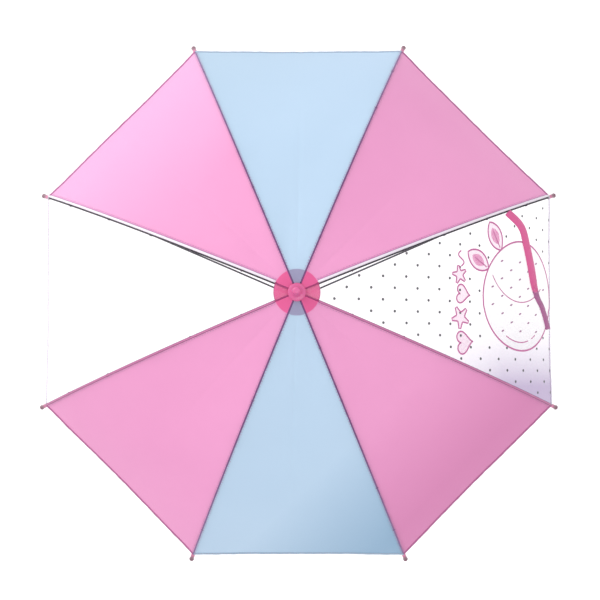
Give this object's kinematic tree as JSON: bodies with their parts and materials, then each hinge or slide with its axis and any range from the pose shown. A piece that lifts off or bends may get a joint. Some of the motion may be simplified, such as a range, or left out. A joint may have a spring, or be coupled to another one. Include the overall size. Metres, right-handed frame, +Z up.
{
  "type": "children's stick umbrella",
  "caption": "Open domed stick umbrella for a child, with cloth and clear film panels on folding steel ribs, a sliding runner with catches, a tie strap and a crook handle.",
  "frame": {"origin": "middle of the straight hand grip, on the shaft's axis", "axes": "+Z up along the shaft towards the ferrule, +X through the middle of the printed panel, -Y the way the crook handle reaches"},
  "size_m": [0.7726, 0.7726, 0.658],
  "materials": {
    "cloth_pink": "plain woven polyester, slightly shiny",
    "cloth_blue": "plain woven polyester, slightly shiny",
    "film_clear": "clear flexible film",
    "film_printed": "clear flexible film with printed dots",
    "rosette_film": "hot pink translucent film",
    "plastic_pink": "moulded pink plastic",
    "handle_pink": "moulded pink plastic, glossy",
    "nylon_white": "moulded white nylon",
    "steel_plated": "nickel plated steel",
    "shaft_steel": "chromed steel tube",
    "strap_pink": "woven webbing"
  },
  "bodies": {
    "shaft": {"shaft_tube": "shaft_steel", "top_notch": "nylon_white", "notch_wire": "steel_plated", "ferrule_cap": "plastic_pink", "rosette_disc": "rosette_film", "stop_pin": "steel_plated", "catch_pins": "steel_plated", "handle_grip": "handle_pink", "handle_collar": "plastic_pink", "handle_end_cap": "plastic_pink"},
    "top_catch": {"top_catch": "steel_plated"},
    "bottom_catch": {"bottom_catch": "steel_plated"},
    "runner": {"runner_sleeve": "plastic_pink", "runner_crown": "nylon_white"},
    "rib_1": {"rib_1": "steel_plated", "rib_tip_1": "plastic_pink", "rib_rivet_1": "steel_plated", "canopy_panel_1": "cloth_pink", "tie_strap": "strap_pink", "strap_fastener": "plastic_pink"},
    "stretcher_1": {"stretcher_1": "steel_plated"},
    "rib_2": {"rib_2": "steel_plated", "rib_tip_2": "plastic_pink", "rib_rivet_2": "steel_plated", "canopy_panel_2": "cloth_blue"},
    "stretcher_2": {"stretcher_2": "steel_plated"},
    "rib_3": {"rib_3": "steel_plated", "rib_tip_3": "plastic_pink", "rib_rivet_3": "steel_plated", "canopy_panel_3": "cloth_pink"},
    "stretcher_3": {"stretcher_3": "steel_plated"},
    "rib_4": {"rib_4": "steel_plated", "rib_tip_4": "plastic_pink", "rib_rivet_4": "steel_plated", "canopy_panel_4": "film_clear"},
    "stretcher_4": {"stretcher_4": "steel_plated"},
    "rib_5": {"rib_5": "steel_plated", "rib_tip_5": "plastic_pink", "rib_rivet_5": "steel_plated", "canopy_panel_5": "cloth_pink"},
    "stretcher_5": {"stretcher_5": "steel_plated"},
    "rib_6": {"rib_6": "steel_plated", "rib_tip_6": "plastic_pink", "rib_rivet_6": "steel_plated", "canopy_panel_6": "cloth_blue"},
    "stretcher_6": {"stretcher_6": "steel_plated"},
    "rib_7": {"rib_7": "steel_plated", "rib_tip_7": "plastic_pink", "rib_rivet_7": "steel_plated", "canopy_panel_7": "cloth_pink"},
    "stretcher_7": {"stretcher_7": "steel_plated"},
    "rib_8": {"rib_8": "steel_plated", "rib_tip_8": "plastic_pink", "rib_rivet_8": "steel_plated", "canopy_panel_8": "film_printed"},
    "stretcher_8": {"stretcher_8": "steel_plated"}
  },
  "joints": [
    {"name": "runner_slide", "type": "slide", "parent": "shaft", "child": "runner", "axis": [0, 0, -1], "range_m": [0, 0.29605], "deforming": ["canopy_panel_1", "canopy_panel_2", "canopy_panel_3", "canopy_panel_4", "canopy_panel_5", "canopy_panel_6", "canopy_panel_7", "canopy_panel_8", "tie_strap"]},
    {"name": "top_catch_press", "type": "hinge", "parent": "shaft", "child": "top_catch", "pos_m": [0.0017, 0, 0.35166], "axis": [0, -1, 0], "range_deg": [0, 7], "stiffness_Nm_per_rad": 0.4},
    {"name": "bottom_catch_press", "type": "hinge", "parent": "shaft", "child": "bottom_catch", "pos_m": [0.0017, 0, 0.08511], "axis": [0, 1, 0], "range_deg": [0, 7], "stiffness_Nm_per_rad": 0.4},
    {"name": "rib_1_hinge", "type": "hinge", "parent": "shaft", "child": "rib_1", "pos_m": [0.01109, 0.00459, 0.525], "axis": [-0.3827, 0.9239, 0], "range_deg": [0, 58.64]},
    {"name": "stretcher_1_hinge", "type": "hinge", "parent": "rib_1", "child": "stretcher_1", "pos_m": [0.20506, 0.08494, 0.45983], "axis": [-0.3827, 0.9239, 0], "range_deg": [-117.29, 0]},
    {"name": "rib_2_hinge", "type": "hinge", "parent": "shaft", "child": "rib_2", "pos_m": [0.00459, 0.01109, 0.525], "axis": [-0.9239, 0.3827, 0], "range_deg": [0, 58.64]},
    {"name": "stretcher_2_hinge", "type": "hinge", "parent": "rib_2", "child": "stretcher_2", "pos_m": [0.08494, 0.20506, 0.45983], "axis": [-0.9239, 0.3827, 0], "range_deg": [-117.29, 0]},
    {"name": "rib_3_hinge", "type": "hinge", "parent": "shaft", "child": "rib_3", "pos_m": [-0.00459, 0.01109, 0.525], "axis": [-0.9239, -0.3827, 0], "range_deg": [0, 58.64]},
    {"name": "stretcher_3_hinge", "type": "hinge", "parent": "rib_3", "child": "stretcher_3", "pos_m": [-0.08494, 0.20506, 0.45983], "axis": [-0.9239, -0.3827, 0], "range_deg": [-117.29, 0]},
    {"name": "rib_4_hinge", "type": "hinge", "parent": "shaft", "child": "rib_4", "pos_m": [-0.01109, 0.00459, 0.525], "axis": [-0.3827, -0.9239, 0], "range_deg": [0, 58.64]},
    {"name": "stretcher_4_hinge", "type": "hinge", "parent": "rib_4", "child": "stretcher_4", "pos_m": [-0.20506, 0.08494, 0.45983], "axis": [-0.3827, -0.9239, 0], "range_deg": [-117.29, 0]},
    {"name": "rib_5_hinge", "type": "hinge", "parent": "shaft", "child": "rib_5", "pos_m": [-0.01109, -0.00459, 0.525], "axis": [0.3827, -0.9239, 0], "range_deg": [0, 58.64]},
    {"name": "stretcher_5_hinge", "type": "hinge", "parent": "rib_5", "child": "stretcher_5", "pos_m": [-0.20506, -0.08494, 0.45983], "axis": [0.3827, -0.9239, 0], "range_deg": [-117.29, 0]},
    {"name": "rib_6_hinge", "type": "hinge", "parent": "shaft", "child": "rib_6", "pos_m": [-0.00459, -0.01109, 0.525], "axis": [0.9239, -0.3827, 0], "range_deg": [0, 58.64]},
    {"name": "stretcher_6_hinge", "type": "hinge", "parent": "rib_6", "child": "stretcher_6", "pos_m": [-0.08494, -0.20506, 0.45983], "axis": [0.9239, -0.3827, 0], "range_deg": [-117.29, 0]},
    {"name": "rib_7_hinge", "type": "hinge", "parent": "shaft", "child": "rib_7", "pos_m": [0.00459, -0.01109, 0.525], "axis": [0.9239, 0.3827, 0], "range_deg": [0, 58.64]},
    {"name": "stretcher_7_hinge", "type": "hinge", "parent": "rib_7", "child": "stretcher_7", "pos_m": [0.08494, -0.20506, 0.45983], "axis": [0.9239, 0.3827, 0], "range_deg": [-117.29, 0]},
    {"name": "rib_8_hinge", "type": "hinge", "parent": "shaft", "child": "rib_8", "pos_m": [0.01109, -0.00459, 0.525], "axis": [0.3827, 0.9239, 0], "range_deg": [0, 58.64]},
    {"name": "stretcher_8_hinge", "type": "hinge", "parent": "rib_8", "child": "stretcher_8", "pos_m": [0.20506, -0.08494, 0.45983], "axis": [0.3827, 0.9239, 0], "range_deg": [-117.29, 0]}
  ],
  "couplings": [
    {"joint": "rib_1_hinge", "follows": "runner_slide", "rad_per_m": 3.4567},
    {"joint": "stretcher_1_hinge", "follows": "runner_slide", "rad_per_m": -6.9134},
    {"joint": "rib_2_hinge", "follows": "runner_slide", "rad_per_m": 3.4567},
    {"joint": "stretcher_2_hinge", "follows": "runner_slide", "rad_per_m": -6.9134},
    {"joint": "rib_3_hinge", "follows": "runner_slide", "rad_per_m": 3.4567},
    {"joint": "stretcher_3_hinge", "follows": "runner_slide", "rad_per_m": -6.9134},
    {"joint": "rib_4_hinge", "follows": "runner_slide", "rad_per_m": 3.4567},
    {"joint": "stretcher_4_hinge", "follows": "runner_slide", "rad_per_m": -6.9134},
    {"joint": "rib_5_hinge", "follows": "runner_slide", "rad_per_m": 3.4567},
    {"joint": "stretcher_5_hinge", "follows": "runner_slide", "rad_per_m": -6.9134},
    {"joint": "rib_6_hinge", "follows": "runner_slide", "rad_per_m": 3.4567},
    {"joint": "stretcher_6_hinge", "follows": "runner_slide", "rad_per_m": -6.9134},
    {"joint": "rib_7_hinge", "follows": "runner_slide", "rad_per_m": 3.4567},
    {"joint": "stretcher_7_hinge", "follows": "runner_slide", "rad_per_m": -6.9134},
    {"joint": "rib_8_hinge", "follows": "runner_slide", "rad_per_m": 3.4567},
    {"joint": "stretcher_8_hinge", "follows": "runner_slide", "rad_per_m": -6.9134}
  ]
}
